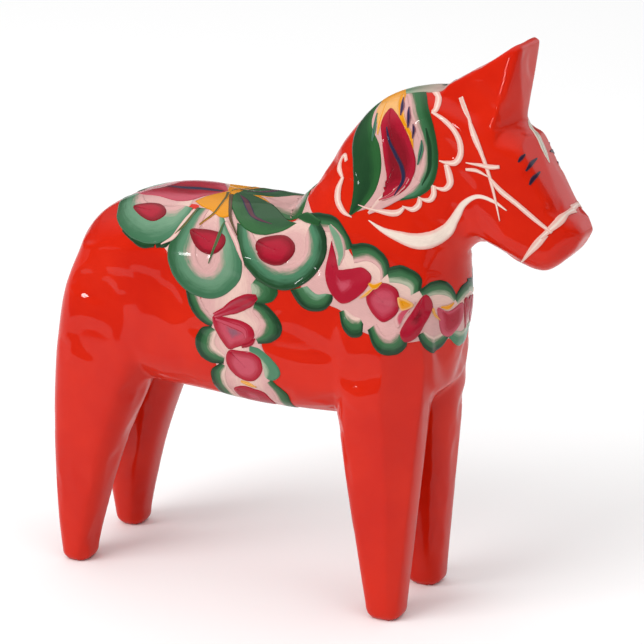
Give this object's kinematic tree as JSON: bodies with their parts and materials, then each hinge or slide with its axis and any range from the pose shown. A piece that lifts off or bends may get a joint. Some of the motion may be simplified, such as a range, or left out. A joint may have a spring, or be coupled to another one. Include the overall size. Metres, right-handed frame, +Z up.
{
  "type": "dala horse",
  "caption": "Carved and brightly painted wooden toy horse standing on straight legs, with a flower saddle, garlands, a mane panel and a bridle painted over a glossy red coat.",
  "frame": {"origin": "on the floor, midway along the horse and midway across it", "axes": "+X the way the horse faces, +Y to the horse's left, +Z up"},
  "size_m": [0.17, 0.049, 0.178],
  "materials": {
    "red_coat": "high gloss",
    "green_paint": "high gloss",
    "pale_green_paint": "high gloss",
    "white_paint": "high gloss",
    "dark_blue_paint": "high gloss"
  },
  "bodies": {
    "root": {"pine_body": "red_coat", "saddle_flower": "green_paint", "girth_garland_right": "pale_green_paint", "girth_garland_left": "pale_green_paint", "breast_garland": "pale_green_paint", "mane_panel": "green_paint", "mane_scallops_right": "white_paint", "mane_scallops_left": "white_paint", "mane_squiggle_right": "white_paint", "mane_squiggle_left": "white_paint", "cheek_swoosh_right": "white_paint", "cheek_swoosh_left": "white_paint", "bridle_right": "white_paint", "bridle_left": "white_paint", "nose_band": "white_paint", "forehead_blaze": "white_paint", "eye_strokes_right": "dark_blue_paint", "eye_strokes_left": "dark_blue_paint"}
  },
  "joints": []
}
